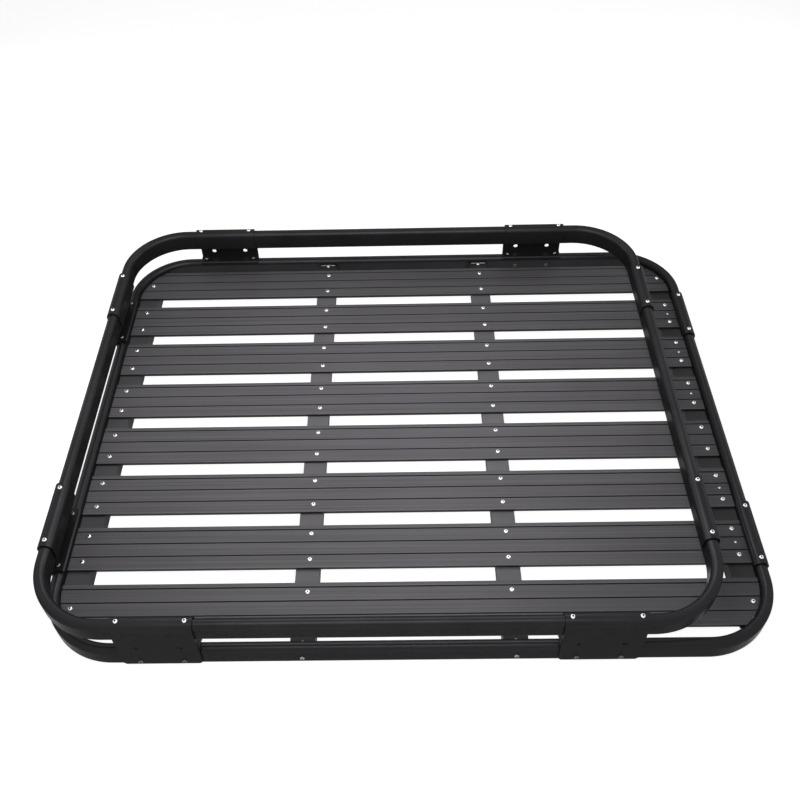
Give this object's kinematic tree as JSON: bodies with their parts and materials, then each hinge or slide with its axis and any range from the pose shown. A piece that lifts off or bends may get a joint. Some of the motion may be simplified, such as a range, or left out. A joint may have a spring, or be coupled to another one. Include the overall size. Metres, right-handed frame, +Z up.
{
  "type": "roof basket",
  "caption": "Flat slatted roof tray on cross rails inside a rounded tube loop, with a shorter raised upper loop held above it by saddle brackets.",
  "frame": {"origin": "middle of the basket, on the plane that its rails and lower tubes stand on", "axes": "+X along the slats towards the end where the upper loop stops short, +Y across the slats, +Z up"},
  "size_m": [1.2394, 1.0048, 0.1282],
  "materials": {
    "slat_coat": "fine matt dark grey coat",
    "rail_coat": "fine matt dark grey coat",
    "tube_coat": "satin black coat",
    "bracket_coat": "satin black coat",
    "clip_metal": "dark satin"
  },
  "bodies": {
    "root": {"slat_1": "slat_coat", "slat_2": "slat_coat", "slat_3": "slat_coat", "slat_4": "slat_coat", "slat_5": "slat_coat", "slat_6": "slat_coat", "slat_7": "slat_coat", "slat_8": "slat_coat", "rail_outer_left": "rail_coat", "rail_inner_left": "rail_coat", "rail_inner_right": "rail_coat", "rail_outer_right": "rail_coat", "lower_bend_far_left": "tube_coat", "lower_bend_far_right": "tube_coat", "lower_bend_near_left": "tube_coat", "lower_bend_near_right": "tube_coat", "lower_tube_far": "tube_coat", "lower_tube_near": "tube_coat", "lower_tube_left": "tube_coat", "lower_tube_right": "tube_coat", "upper_bend_far_left": "tube_coat", "upper_bend_far_right": "tube_coat", "upper_bend_near_left": "tube_coat", "upper_bend_near_right": "tube_coat", "upper_tube_far": "tube_coat", "upper_tube_near": "tube_coat", "upper_tube_left": "tube_coat", "upper_tube_right": "tube_coat", "bracket_far_left": "bracket_coat", "bracket_far_right": "bracket_coat", "bracket_near_left": "bracket_coat", "bracket_near_right": "bracket_coat", "bracket_left_far": "bracket_coat", "bracket_left_near": "bracket_coat", "upper_saddle_far": "bracket_coat", "upper_saddle_near": "bracket_coat", "lower_saddle_far": "bracket_coat", "lower_saddle_near": "bracket_coat", "clip_far_left": "clip_metal", "clip_far_right": "clip_metal", "clip_near_left": "clip_metal", "clip_near_right": "clip_metal"}
  },
  "joints": []
}
